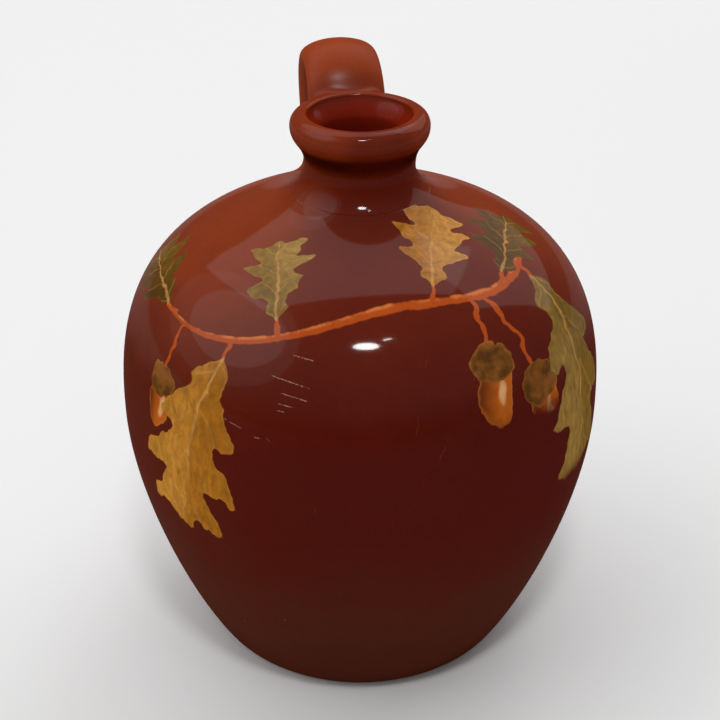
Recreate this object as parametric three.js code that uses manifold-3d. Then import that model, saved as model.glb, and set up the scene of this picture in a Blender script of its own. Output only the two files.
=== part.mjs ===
// Art pottery jug: a round thrown belly on a turned foot, a narrow neck with a rolled rim,
// and a pulled strap handle that springs from the neck and lands on the shoulder.
// Millimetres, +Z up, origin at the middle of the foot, handle towards +Y.

import * as THREE from "three";
import { ParametricGeometry } from "three/addons/geometries/ParametricGeometry.js";
import { mergeVertices } from "three/addons/utils/BufferGeometryUtils.js";
import Module from "manifold-3d";

// Foot
const FOOT_RADIUS = 47.6; // outer edge of the flat ring that the jug stands on
const FOOT_EDGE_ROUND = 4;
const FOOT_RING_WIDTH = 8;
const FOOT_RECESS_DEPTH = 2;
const FOOT_RECESS_ROUND = 3;

// Belly
const BELLY_RADIUS = 73; // the widest ring
const BELLY_HEIGHT = 79; // the widest ring above the foot
const BELLY_WALL = 4.5;
const FLOOR_THICKNESS = 5.5;
const FLOOR_CORNER = 12; // how far the inside corner of the floor is rounded
const LOWER_FULLNESS = 23.2; // how long the wall stays upright below the widest ring
const UPPER_FULLNESS = 25.1; // and above it
const FOOT_WALL_LEAN = 29.7; // degrees from upright, where the wall rises from the foot
const FOOT_WALL_FULLNESS = 19.6;

// Shoulder
const SHOULDER_RISE = 59; // from the widest ring to the foot of the neck
const SHOULDER_SLOPE = 18.4; // degrees from level, where it meets the neck
const SHOULDER_FULLNESS = 32.9;

// Neck and rim
const NECK_RADIUS = 15.9; // at the waist, the narrowest ring
const NECK_WALL = 4;
const COVE_REACH = 21.9; // how far the foot of the neck spreads past the waist
const COVE_RISE = 15.9; // from the shoulder to the waist
const COVE_LOWER_BEND = 11.6;
const COVE_UPPER_BEND = 6.2;
const SEAM_ALONG_COVE = 0.62; // where the neck is luted on, from the shoulder to the waist
const RIM_OVERHANG = 4; // the rim past the waist
const RIM_RISE = 11.9; // from the waist to the rim's widest ring
const RIM_UNDER_BEND = 4.8;
const NECK_UPPER_BEND = 7.5;
const LIP_RISE = 3.8; // from the rim's widest ring to the lip's top
const LIP_INSET = 4.1; // the lip's top inside the rim's widest ring
const LIP_OUTER_BEND = 2.1;
const LIP_TOP_BEND = 2.8;
const MOUTH_INSET = 0.9; // the mouth's edge inside the lip's top
const MOUTH_DROP = 0.7;
const THROAT_DROP = 6; // how far down the bore the mouth's flare reaches

// Handle
const STRAP_WIDTH = 24;
const STRAP_THICKNESS = 9.8;
const STRAP_TAPER = 0.81; // size at the lower end against the upper end
const HANDLE_STAND_OFF = 0.1; // middle of the near leg past the rim's widest ring
const HANDLE_SPAN = 26.2; // from the near leg's middle to the far leg's middle
const HANDLE_ARCH_LIFT = -3.5; // the arch's springing line against the rim's widest ring
const HANDLE_ROOT_DROP = 6.5; // where it leaves the neck, under the waist
const HANDLE_ROOT_LEAN = 40; // degrees from level
const HANDLE_ROOT_BEND = 7;
const HANDLE_LANDING = 0.943; // place on the shoulder, from the widest ring (0) to the neck (1)
const HANDLE_LANDING_LEAN = 21; // degrees from upright
const HANDLE_UPPER_BEND = 11;
const HANDLE_LOWER_BEND = 9;

// Clay worked round the handle's two roots
const NECK_JOIN_GROWTH = 1.9; // how far it stands proud of the strap
const NECK_JOIN_REACH = 23; // how far along the handle it goes
const SHOULDER_JOIN_GROWTH = 3;
const SHOULDER_JOIN_REACH = 12.8;
const JOIN_EDGE = 0.7; // thickness left at its thin end

// Gap between pieces that meet
const JOINT_GAP = 0.3;

// Roundness of the meshes
const BELLY_SEGMENTS = 60;
const NECK_SEGMENTS = 48;
const STRAP_SIDES = 20;
const STRAP_ROWS = 32;
const JOIN_ROWS = 9;

const wasm = await Module();
wasm.setup();

const point = (radius, height) => new THREE.Vector2(radius, height);

// Direction with the given lean from level, in degrees, towards +radius and +height
function heading(degrees) {
  const angle = THREE.MathUtils.degToRad(degrees);
  return point(Math.cos(angle), Math.sin(angle));
}

// Cubic curve that leaves its start along one direction and reaches its end along another
function bend(start, startDirection, startLength, end, endDirection, endLength) {
  const leaving = startDirection.clone().multiplyScalar(startLength).add(start);
  const arriving = endDirection.clone().multiplyScalar(-endLength).add(end);
  return new THREE.CubicBezierCurve(start, leaving, arriving, end);
}

// Points on a curve from one share of its length to another, without the first one
function stretch(curve, from, to, count) {
  const points = [];
  for (let i = 1; i <= count; i += 1) {
    points.push(curve.getPoint(from + ((to - from) * i) / count));
  }
  return points;
}

// The same line moved sideways, to the right of its direction if the distance is positive
function shifted(points, distance) {
  return points.map((here, i) => {
    const before = points[Math.max(i - 1, 0)];
    const after = points[Math.min(i + 1, points.length - 1)];
    const along = after.clone().sub(before).normalize();
    return point(here.x + along.y * distance, here.y - along.x * distance);
  });
}

// Outside of the jug, from the foot to the lip
const UP = heading(90);
const INWARD = heading(180);
const footTurn = THREE.MathUtils.degToRad(FOOT_WALL_LEAN);
const footWallStart = point(
  FOOT_RADIUS + FOOT_EDGE_ROUND * Math.cos(footTurn),
  FOOT_EDGE_ROUND * (1 - Math.sin(footTurn))
);
const widest = point(BELLY_RADIUS, BELLY_HEIGHT);
const shoulderEnd = point(NECK_RADIUS + COVE_REACH, BELLY_HEIGHT + SHOULDER_RISE);
const waist = point(NECK_RADIUS, shoulderEnd.y + COVE_RISE);
const rimWidest = point(NECK_RADIUS + RIM_OVERHANG, waist.y + RIM_RISE);
const lipTop = point(rimWidest.x - LIP_INSET, rimWidest.y + LIP_RISE);
const footWallHeading = heading(90 - FOOT_WALL_LEAN);
const shoulderHeading = heading(180 - SHOULDER_SLOPE);

const footEdge = new THREE.EllipseCurve(
  FOOT_RADIUS, FOOT_EDGE_ROUND, FOOT_EDGE_ROUND, FOOT_EDGE_ROUND, -Math.PI / 2, -footTurn
);
const lowerWall = bend(footWallStart, footWallHeading, FOOT_WALL_FULLNESS, widest, UP, LOWER_FULLNESS);
const shoulder = bend(widest, UP, UPPER_FULLNESS, shoulderEnd, shoulderHeading, SHOULDER_FULLNESS);
const cove = bend(shoulderEnd, shoulderHeading, COVE_LOWER_BEND, waist, UP, COVE_UPPER_BEND);
const neckFlare = bend(waist, UP, NECK_UPPER_BEND, rimWidest, UP, RIM_UNDER_BEND);
const rimRoll = bend(rimWidest, UP, LIP_OUTER_BEND, lipTop, INWARD, LIP_TOP_BEND);

const bellyOutside = [
  point(FOOT_RADIUS, 0),
  ...stretch(footEdge, 0, 1, 3),
  ...stretch(lowerWall, 0, 1, 9),
  ...stretch(shoulder, 0, 1, 11),
  ...stretch(cove, 0, SEAM_ALONG_COVE, 6),
];
const neckOutside = [
  cove.getPoint(SEAM_ALONG_COVE),
  ...stretch(cove, SEAM_ALONG_COVE, 1, 4),
  ...stretch(neckFlare, 0, 1, 7),
  ...stretch(rimRoll, 0, 1, 5),
];

// A profile of radius and height points turned about the +Z axis
function turned(profile, segments) {
  return new THREE.LatheGeometry(profile, segments).rotateX(Math.PI / 2);
}

// The belly: foot ring, wall and floor, up to the seam under the neck
const boreRadius = NECK_RADIUS - NECK_WALL;
const seam = neckOutside[0];

function belly() {
  const recessEdge = FOOT_RADIUS - FOOT_RING_WIDTH;
  const floorTop = FOOT_RECESS_DEPTH + FLOOR_THICKNESS;
  const underside = [
    point(0, FOOT_RECESS_DEPTH),
    point(recessEdge - FOOT_RECESS_ROUND, FOOT_RECESS_DEPTH),
    point(recessEdge, 0),
  ];
  const wall = [footWallStart, ...stretch(lowerWall, 0, 1, 8), ...stretch(shoulder, 0, 1, 9)];
  const inside = shifted(wall, -BELLY_WALL).filter((at) => at.y > floorTop + FLOOR_CORNER / 2);
  const floorEnd = inside[0].x - FLOOR_CORNER;
  const corner = new THREE.QuadraticBezierCurve(
    point(floorEnd, floorTop), point(inside[0].x - FLOOR_CORNER / 4, floorTop), inside[0]
  );
  const insideTop = inside[inside.length - 1];
  const throat = bend(
    insideTop, shoulderHeading, COVE_REACH / 2, point(boreRadius, seam.y - JOINT_GAP / 2), UP, COVE_RISE / 4
  );
  const hollow = [
    point(0, floorTop),
    point(floorEnd, floorTop),
    ...stretch(corner, 0, 1, 3),
    ...inside.slice(1),
    ...stretch(throat, 0, 1, 4),
  ];
  const outside = [...bellyOutside.slice(0, -1), point(seam.x, seam.y - JOINT_GAP / 2)];
  return turned([...underside, ...outside, ...hollow.reverse()], BELLY_SEGMENTS);
}

// The neck: a luted collar with a rolled rim and a flared mouth
function neck() {
  const mouthEdge = point(lipTop.x - MOUTH_INSET, lipTop.y - MOUTH_DROP);
  const lipInside = bend(lipTop, INWARD, MOUTH_INSET / 2, mouthEdge, UP.clone().negate(), MOUTH_DROP / 2);
  const throatEnd = point(boreRadius, mouthEdge.y - THROAT_DROP);
  const throat = bend(
    mouthEdge, UP.clone().negate(), THROAT_DROP / 3, throatEnd, UP.clone().negate(), THROAT_DROP / 3
  );
  const foot = seam.y + JOINT_GAP / 2;
  const profile = [
    point(boreRadius, foot),
    point(seam.x, foot),
    ...neckOutside.slice(1),
    ...stretch(lipInside, 0, 1, 3),
    ...stretch(throat, 0, 1, 4),
    point(boreRadius, foot),
  ];
  return turned(profile, NECK_SEGMENTS);
}

// The handle's centre line, as radius and height in the plane behind the jug
function handleLine() {
  const nearLeg = point(rimWidest.x + HANDLE_STAND_OFF, rimWidest.y + HANDLE_ARCH_LIFT);
  const farLeg = point(nearLeg.x + HANDLE_SPAN, nearLeg.y);
  const root = point(NECK_RADIUS - NECK_WALL / 2, waist.y - HANDLE_ROOT_DROP);
  const landingHeading = heading(HANDLE_LANDING_LEAN - 90).multiply(point(-1, 1));
  const landing = landingHeading.clone().multiplyScalar(BELLY_WALL).add(shoulder.getPoint(HANDLE_LANDING));
  const archMiddle = nearLeg.x + HANDLE_SPAN / 2;
  const line = new THREE.CurvePath();
  line.add(bend(root, heading(HANDLE_ROOT_LEAN), HANDLE_ROOT_BEND, nearLeg, UP, HANDLE_ROOT_BEND));
  line.add(new THREE.EllipseCurve(archMiddle, nearLeg.y, HANDLE_SPAN / 2, HANDLE_SPAN / 2, Math.PI, 0, true));
  line.add(
    bend(farLeg, UP.clone().negate(), HANDLE_UPPER_BEND, landing, landingHeading, HANDLE_LOWER_BEND)
  );
  return line;
}

const handleCentre = handleLine();

// An oval bar along part of the handle's line. The growth says how far each place on the line
// stands proud of the strap, and the first and last rows close the two ends.
function strap(from, to, rows, growth) {
  const place = (around, along, target) => {
    const row = Math.round(along * rows);
    const share = from + (to - from) * THREE.MathUtils.clamp((row - 1) / (rows - 2), 0, 1);
    const centre = handleCentre.getPointAt(share);
    const tangent = handleCentre.getTangentAt(share);
    const size = THREE.MathUtils.lerp(1, STRAP_TAPER, share);
    const closed = row === 0 || row === rows;
    const turn = -around * 2 * Math.PI;
    const across = closed ? 0 : ((STRAP_WIDTH * size) / 2 + growth(share)) * Math.cos(turn);
    const out = closed ? 0 : ((STRAP_THICKNESS * size) / 2 + growth(share)) * Math.sin(turn);
    target.set(across, centre.x - tangent.y * out, centre.y + tangent.x * out);
  };
  return new ParametricGeometry(place, STRAP_SIDES, rows);
}

// A closed mesh as a solid that can be cut
function solid(geometry) {
  const bare = geometry.clone();
  bare.deleteAttribute("normal");
  bare.deleteAttribute("uv");
  const merged = mergeVertices(bare, 1e-4);
  const triangles = [];
  for (let i = 0; i < merged.index.count; i += 3) {
    const [a, b, c] = [merged.index.getX(i), merged.index.getX(i + 1), merged.index.getX(i + 2)];
    if (a !== b && b !== c && c !== a) {
      triangles.push(a, b, c);
    }
  }
  const vertProperties = new Float32Array(merged.attributes.position.array);
  const triVerts = new Uint32Array(triangles);
  return new wasm.Manifold(new wasm.Mesh({ numProp: 3, vertProperties, triVerts }));
}

// A cut solid as a geometry again
function geometryOf(shape) {
  const mesh = shape.getMesh();
  const geometry = new THREE.BufferGeometry();
  geometry.setAttribute("position", new THREE.BufferAttribute(mesh.vertProperties, 3));
  geometry.setIndex(new THREE.BufferAttribute(mesh.triVerts, 1));
  geometry.computeVertexNormals();
  return geometry;
}

// The whole jug without its hollow, one gap larger all over
function fullJug() {
  const outside = shifted([...bellyOutside, ...neckOutside.slice(1)], JOINT_GAP);
  const top = outside[outside.length - 1];
  const profile = [point(0, -JOINT_GAP), ...outside, point(0, top.y)];
  return solid(turned(profile, BELLY_SEGMENTS));
}

const jugShape = fullJug();

function handle() {
  return geometryOf(solid(strap(0, 1, STRAP_ROWS, () => 0)).subtract(jugShape));
}

// Clay round one root, at the start (0) or the end (1) of the line, as far along it as its
// reach. It stands proud of the strap by its growth at the root and thins away from there.
function join(root, reach, growth) {
  const share = reach / handleCentre.getLength();
  const thinning = (place) => {
    const past = Math.abs(place - root) / share;
    return JOIN_EDGE + (growth - JOIN_EDGE) * (1 - past) ** 2;
  };
  const clay = solid(strap(root * (1 - share), root + (1 - root) * share, JOIN_ROWS, thinning));
  const strapRoom = solid(strap(0, 1, STRAP_ROWS, () => JOINT_GAP));
  return geometryOf(clay.subtract(jugShape).subtract(strapRoom));
}

// Glazes
const bodyGlaze = new THREE.MeshStandardMaterial({ color: 0x5c1a0e, roughness: 0.12, metalness: 0 });
const neckGlaze = new THREE.MeshStandardMaterial({ color: 0x6a2212, roughness: 0.12, metalness: 0 });
const handleGlaze = new THREE.MeshStandardMaterial({ color: 0x7c2c17, roughness: 0.14, metalness: 0 });
const joinGlaze = new THREE.MeshStandardMaterial({ color: 0x85361b, roughness: 0.14, metalness: 0 });

const jug = new THREE.Group();

function piece(name, geometry, material) {
  const mesh = new THREE.Mesh(geometry, material);
  mesh.name = name;
  jug.add(mesh);
}

piece("belly", belly(), bodyGlaze);
piece("neck", neck(), neckGlaze);
piece("handle", handle(), handleGlaze);
piece("neck_join", join(0, NECK_JOIN_REACH, NECK_JOIN_GROWTH), joinGlaze);
piece("shoulder_join", join(1, SHOULDER_JOIN_REACH, SHOULDER_JOIN_GROWTH), joinGlaze);

export default jug;
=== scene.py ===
import math

import bpy
import numpy as np
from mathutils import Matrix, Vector


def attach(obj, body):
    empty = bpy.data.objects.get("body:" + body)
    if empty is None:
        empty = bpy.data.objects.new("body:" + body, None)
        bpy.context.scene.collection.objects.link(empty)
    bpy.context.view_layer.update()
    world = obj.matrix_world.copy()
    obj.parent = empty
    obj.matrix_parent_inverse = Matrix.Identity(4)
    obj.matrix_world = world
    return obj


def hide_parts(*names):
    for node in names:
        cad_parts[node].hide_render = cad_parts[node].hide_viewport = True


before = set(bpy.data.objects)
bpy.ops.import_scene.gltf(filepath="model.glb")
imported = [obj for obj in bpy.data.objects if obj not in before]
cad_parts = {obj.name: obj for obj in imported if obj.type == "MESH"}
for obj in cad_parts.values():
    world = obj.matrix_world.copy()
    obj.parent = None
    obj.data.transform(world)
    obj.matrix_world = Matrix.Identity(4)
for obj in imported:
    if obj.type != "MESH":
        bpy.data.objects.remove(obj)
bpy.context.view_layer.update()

# The art pottery jug, dressed for its portrait: a glossy red brown glaze with a painted band
# of oak leaves and acorns round the shoulder. Metres, +Z up, the handle towards +Y.
MM = 0.001
# Keeps divisions away from 0
TINY = 1e-9

# Foot, in millimetres like all the sizes below
FOOT_RADIUS = 47.6
FOOT_EDGE_ROUND = 4.0
FOOT_RING_WIDTH = 8.0
FOOT_RECESS_DEPTH = 2.0
FOOT_RECESS_ROUND = 3.0
FOOT_RECESS_BENDS = (1.2, 0.9)
FOOT_RING_ROUND = 0.35
FOOT_RING_BEND = 0.2
UNDERSIDE_FIRST_RING = 6.0
FOOT_WALL_LEAN = 29.7
FOOT_WALL_FULLNESS = 19.6

# Belly and shoulder
BELLY_RADIUS = 73.0
BELLY_HEIGHT = 79.0
BELLY_WALL = 4.5
FLOOR_THICKNESS = 5.5
FLOOR_CORNER = 12.0
FLOOR_CORNER_BENDS = (6.0, 4.2)
FLOOR_CORNER_LEAN = 62.0
LOWER_FULLNESS = 23.2
UPPER_FULLNESS = 25.1
SHOULDER_RISE = 59.0
SHOULDER_SLOPE = 18.4
SHOULDER_FULLNESS = 32.9

# Neck and rim
NECK_RADIUS = 15.9
NECK_WALL = 4.0
COVE_REACH = 21.9
COVE_RISE = 15.9
COVE_LOWER_BEND = 11.6
COVE_UPPER_BEND = 6.2
SEAM_ALONG_COVE = 0.62
SEAM_EASE = 0.02
RIM_OVERHANG = 4.0
RIM_RISE = 11.9
RIM_UNDER_BEND = 4.8
NECK_UPPER_BEND = 7.5
LIP_RISE = 3.8
LIP_INSET = 4.1
LIP_OUTER_BEND = 2.1
LIP_TOP_BEND = 2.8
MOUTH_INSET = 0.9
MOUTH_DROP = 0.7
THROAT_DROP = 6.0

# Handle
STRAP_WIDTH = 24.0
STRAP_THICKNESS = 9.8
STRAP_TAPER = 0.81
HANDLE_STAND_OFF = 0.1
HANDLE_SPAN = 26.2
HANDLE_ARCH_LIFT = -3.5
HANDLE_ROOT_DROP = 6.5
HANDLE_ROOT_LEAN = 40.0
HANDLE_ROOT_BEND = 7.0
HANDLE_LANDING = 0.943
HANDLE_LANDING_LEAN = 21.0
HANDLE_UPPER_BEND = 11.0
HANDLE_LOWER_BEND = 9.0

# Clay worked round the handle's two roots: where its line starts, in the plane behind the jug,
# how far it reaches, how deep it lies in both skins and how far its hidden hem goes on
NECK_JOIN_START = (0, 16.6, 169.4)
NECK_JOIN_REACH = 2.9
NECK_JOIN_GROWTH = 1.6
NECK_JOIN_TOP = 168.5
NECK_JOIN_DROP = 16.0
NECK_JOIN_EASE = 1.3
SHOULDER_JOIN_START = (0, 38.5, 138.5)
SHOULDER_JOIN_REACH = 4.6
JOIN_DEPTH = 0.7
JOIN_HEM_DEPTH = 0.05
STRAP_HEM = (0.7, 0.9)
JUG_HEM = (0.4, 0.6)
LIP_MARGIN = 0.1
LIP_DEPTH = 1.0
ROOM_GROWTH = 1.5

# How far the strap and its joins stay inside the wall where they would show in the hollow
BORE_COVER_OF_STRAP = 1.2
BORE_COVER_OF_JOIN = 0.5
LIP_CLEARANCE = 0.1
NEAR_NECK = 22.0
BELOW_ARCH = 174.0
STRAP_DEPTH_IN_SHOULDER = 3.2
BEHIND_NECK = 30.0
BELOW_NECK = 150.0

# Fineness of the turned pieces, the strap and the joins
TURN_STEPS = 288
STRAP_SIDES = 96
STRAP_ROWS = 190
JOIN_ROWS = 19
MERGE_DISTANCE = 0.001
TURNED_SMOOTH_BELOW = 40
STRAP_SMOOTH_BELOW = 60
JOIN_SMOOTH_BELOW = 50

# Steps along the stretches of the outlines and of the handle's line
UNDERSIDE_RINGS = 6
RECESS_STEPS = 6
FOOT_RING_STEPS = 3
RING_FLAT_STEPS = 4
FOOT_EDGE_STEPS = 10
LOWER_WALL_STEPS = 56
SHOULDER_STEPS = 92
LOWER_COVE_STEPS = 32
INNER_LOWER_STEPS = 40
INNER_SHOULDER_STEPS = 46
FLOOR_STEPS = 5
FLOOR_CORNER_STEPS = 8
NECK_PASS_STEPS = 8
UPPER_COVE_STEPS = 12
FLARE_STEPS = 26
ROLL_STEPS = 20
LIP_STEPS = 8
THROAT_STEPS = 10
BORE_STEPS = 8
HANDLE_ROOT_STEPS = 50
HANDLE_ARCH_STEPS = 90
HANDLE_LEG_STEPS = 80


# Curves in the plane of the outline, as distance from the axis and height
def heading(degrees):
    angle = math.radians(degrees)
    return np.array([math.cos(angle), math.sin(angle)])


UP = heading(90)
DOWN = heading(-90)
OUTWARD = heading(0)
INWARD = heading(180)


def bend(start, leaving, first_pull, end, arriving, last_pull):
    """The four guide points of a curve that leaves start one way and reaches end another."""
    start, end = np.array(start, float), np.array(end, float)
    return np.array([start, start + leaving * first_pull, end - arriving * last_pull, end])


def along(guides, first, last, count):
    """Points on a curve between two shares of its way, the first one left out."""
    t = first + (last - first) * np.arange(1, count + 1)[:, None] / count
    a, b, c, d = guides
    return a * (1 - t) ** 3 + 3 * b * t * (1 - t) ** 2 + 3 * c * t ** 2 * (1 - t) + d * t ** 3


def shifted(points, distance):
    """The same line moved sideways, to the right of its direction."""
    way = np.gradient(points, axis=0)
    way /= np.linalg.norm(way, axis=1)[:, None]
    return points + distance * np.stack([way[:, 1], -way[:, 0]], axis=1)


foot_edge_centre = np.array([FOOT_RADIUS, FOOT_EDGE_ROUND])
foot_wall_start = foot_edge_centre + FOOT_EDGE_ROUND * heading(-FOOT_WALL_LEAN)
widest = np.array([BELLY_RADIUS, BELLY_HEIGHT])
shoulder_end = np.array([NECK_RADIUS + COVE_REACH, BELLY_HEIGHT + SHOULDER_RISE])
waist = np.array([NECK_RADIUS, shoulder_end[1] + COVE_RISE])
rim_widest = waist + [RIM_OVERHANG, RIM_RISE]
lip_top = rim_widest + [-LIP_INSET, LIP_RISE]
mouth_edge = lip_top - [MOUTH_INSET, MOUTH_DROP]
shoulder_way = heading(180 - SHOULDER_SLOPE)

foot_wall_way = heading(90 - FOOT_WALL_LEAN)
lower_wall = bend(foot_wall_start, foot_wall_way, FOOT_WALL_FULLNESS, widest, UP, LOWER_FULLNESS)
shoulder = bend(widest, UP, UPPER_FULLNESS, shoulder_end, shoulder_way, SHOULDER_FULLNESS)
cove = bend(shoulder_end, shoulder_way, COVE_LOWER_BEND, waist, UP, COVE_UPPER_BEND)
neck_flare = bend(waist, UP, NECK_UPPER_BEND, rim_widest, UP, RIM_UNDER_BEND)
rim_roll = bend(rim_widest, UP, LIP_OUTER_BEND, lip_top, INWARD, LIP_TOP_BEND)
lip_inside = bend(lip_top, INWARD, MOUTH_INSET / 2, mouth_edge, DOWN, MOUTH_DROP / 2)

bore_radius = NECK_RADIUS - NECK_WALL
throat_end = np.array([bore_radius, mouth_edge[1] - THROAT_DROP])
throat = bend(mouth_edge, DOWN, THROAT_DROP / 3, throat_end, DOWN, THROAT_DROP / 3)
seam = along(cove, 0, SEAM_ALONG_COVE, 1)[0]


def foot_edge(count):
    """The round edge of the foot, from the surface it stands on up to the wall."""
    turns = np.linspace(-90, -FOOT_WALL_LEAN, count + 1)[1:]
    return np.array([foot_edge_centre + FOOT_EDGE_ROUND * heading(turn) for turn in turns])


def belly_outline():
    """Underside, foot, outer wall and shoulder, then back down the hollow to its floor."""
    recess_edge = FOOT_RADIUS - FOOT_RING_WIDTH
    recess_start = recess_edge - FOOT_RECESS_ROUND
    ring_start = recess_edge + FOOT_RING_ROUND
    floor_top = FOOT_RECESS_DEPTH + FLOOR_THICKNESS
    recess_end = [recess_edge, FOOT_RING_ROUND]
    recess = bend([recess_start, FOOT_RECESS_DEPTH], OUTWARD, FOOT_RECESS_BENDS[0],
                  recess_end, DOWN, FOOT_RECESS_BENDS[1])
    ring = bend(recess_end, DOWN, FOOT_RING_BEND, [ring_start, 0], OUTWARD, FOOT_RING_BEND)
    flat_radii = np.linspace(ring_start, FOOT_RADIUS, RING_FLAT_STEPS + 1)[1:]
    underside_radii = np.linspace(UNDERSIDE_FIRST_RING, recess_start, UNDERSIDE_RINGS)
    underside = [[0, FOOT_RECESS_DEPTH]] + [[r, FOOT_RECESS_DEPTH] for r in underside_radii]
    outside = [along(recess, 0, 1, RECESS_STEPS), along(ring, 0, 1, FOOT_RING_STEPS)]
    outside.append(np.array([[r, 0] for r in flat_radii]))
    outside.append(foot_edge(FOOT_EDGE_STEPS))
    outside.append(along(lower_wall, 0, 1, LOWER_WALL_STEPS))
    outside.append(along(shoulder, 0, 1, SHOULDER_STEPS))
    outside.append(along(cove, 0, SEAM_ALONG_COVE - SEAM_EASE, LOWER_COVE_STEPS))
    outside.append(along(cove, SEAM_ALONG_COVE - SEAM_EASE, SEAM_ALONG_COVE, 1))
    wall = np.vstack([
        [foot_wall_start], along(lower_wall, 0, 1, INNER_LOWER_STEPS),
        along(shoulder, 0, 1, INNER_SHOULDER_STEPS)[:-1],
    ])
    inside = shifted(wall, -BELLY_WALL)
    inside = inside[inside[:, 1] > floor_top + FLOOR_CORNER / 2]
    inside = inside[inside[:, 0] > bore_radius + COVE_REACH / 2]
    floor_end = inside[0][0] - FLOOR_CORNER
    corner = bend([floor_end, floor_top], OUTWARD, FLOOR_CORNER_BENDS[0],
                  inside[0], heading(FLOOR_CORNER_LEAN), FLOOR_CORNER_BENDS[1])
    neck_pass = bend(inside[-1], shoulder_way, COVE_REACH / 2, [bore_radius, seam[1]], UP, COVE_RISE / 4)
    hollow = [np.array([[radius, floor_top] for radius in np.linspace(0, floor_end, FLOOR_STEPS + 1)])]
    hollow += [along(corner, 0, 1, FLOOR_CORNER_STEPS), inside[1:], along(neck_pass, 0, 1, NECK_PASS_STEPS)]
    return np.vstack([underside] + outside + [np.vstack(hollow)[::-1]])


def neck_outline():
    """Up the outside from the seam, over the rolled rim and down the bore, a closed ring."""
    return np.vstack([
        [seam], along(cove, SEAM_ALONG_COVE, SEAM_ALONG_COVE + SEAM_EASE, 1),
        along(cove, SEAM_ALONG_COVE + SEAM_EASE, 1, UPPER_COVE_STEPS),
        along(neck_flare, 0, 1, FLARE_STEPS), along(rim_roll, 0, 1, ROLL_STEPS),
        along(lip_inside, 0, 1, LIP_STEPS), along(throat, 0, 1, THROAT_STEPS),
        [[bore_radius, z] for z in np.linspace(throat_end[1], seam[1], BORE_STEPS + 1)[1:]], [seam],
    ])


# Modelling by hand
def alone(obj):
    """Selects one object and nothing else."""
    bpy.ops.object.select_all(action="DESELECT")
    obj.select_set(True)
    bpy.context.view_layer.objects.active = obj


def finish_mesh(name):
    """Closes the seams of the mesh in edit mode, turns its faces outwards and names it."""
    bpy.ops.mesh.select_all(action="SELECT")
    bpy.ops.mesh.remove_doubles(threshold=MERGE_DISTANCE * MM)
    bpy.ops.mesh.normals_make_consistent(inside=False)
    bpy.ops.object.mode_set(mode="OBJECT")
    piece = bpy.context.object
    piece.name = name
    piece.data.name = name
    bpy.ops.object.transform_apply(location=True, rotation=True, scale=True)
    return piece


def turned(name, outline):
    """An outline drawn point by point and spun about the jug's axis."""
    points = outline * MM
    bpy.ops.object.select_all(action="DESELECT")
    bpy.ops.mesh.primitive_plane_add(size=MM, location=(points[0][0], 0, points[0][1]))
    bpy.ops.object.mode_set(mode="EDIT")
    bpy.ops.mesh.select_mode(type="VERT")
    bpy.ops.mesh.merge(type="CENTER")
    for before, after in zip(points, points[1:]):
        step = after - before
        bpy.ops.mesh.extrude_region_move(TRANSFORM_OT_translate={"value": (step[0], 0, step[1])})
    bpy.ops.mesh.select_all(action="SELECT")
    bpy.ops.mesh.spin(steps=TURN_STEPS, angle=math.tau, center=(0, 0, 0), axis=(0, 0, 1))
    piece = finish_mesh(name)
    bpy.ops.object.shade_smooth_by_angle(angle=math.radians(TURNED_SMOOTH_BELOW))
    return piece


belly = turned("belly_glazed", belly_outline())
neck = turned("neck_glazed", neck_outline())


def handle_line():
    """The handle's centre line, in the plane behind the jug."""
    near_leg = rim_widest + [HANDLE_STAND_OFF, HANDLE_ARCH_LIFT]
    far_leg = near_leg + [HANDLE_SPAN, 0]
    root = np.array([NECK_RADIUS - NECK_WALL / 2, waist[1] - HANDLE_ROOT_DROP])
    landing_way = heading(HANDLE_LANDING_LEAN - 90) * [-1, 1]
    landing = along(shoulder, 0, HANDLE_LANDING, 1)[0] + BELLY_WALL * landing_way
    middle = near_leg + [HANDLE_SPAN / 2, 0]
    turns = np.linspace(180, 0, HANDLE_ARCH_STEPS + 1)[1:]
    arch = [middle + HANDLE_SPAN / 2 * heading(turn) for turn in turns]
    rising = bend(root, heading(HANDLE_ROOT_LEAN), HANDLE_ROOT_BEND, near_leg, UP, HANDLE_ROOT_BEND)
    falling = bend(far_leg, DOWN, HANDLE_UPPER_BEND, landing, landing_way, HANDLE_LOWER_BEND)
    rising = along(rising, 0, 1, HANDLE_ROOT_STEPS)
    falling = along(falling, 0, 1, HANDLE_LEG_STEPS)
    return np.vstack([[root], rising, arch, falling])


handle_path = handle_line()
path_length = np.concatenate([[0], np.cumsum(np.linalg.norm(np.diff(handle_path, axis=0), axis=1))])


def on_handle(share):
    """Place and direction on the centre line at a share of its length."""
    at = np.asarray(share) * path_length[-1]
    place = np.stack([np.interp(at, path_length, handle_path[:, i]) for i in (0, 1)], axis=-1)
    way = np.gradient(handle_path, path_length, axis=0)
    way = np.stack([np.interp(at, path_length, way[:, i]) for i in (0, 1)], axis=-1)
    return place, way / np.linalg.norm(way, axis=-1, keepdims=True)


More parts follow.
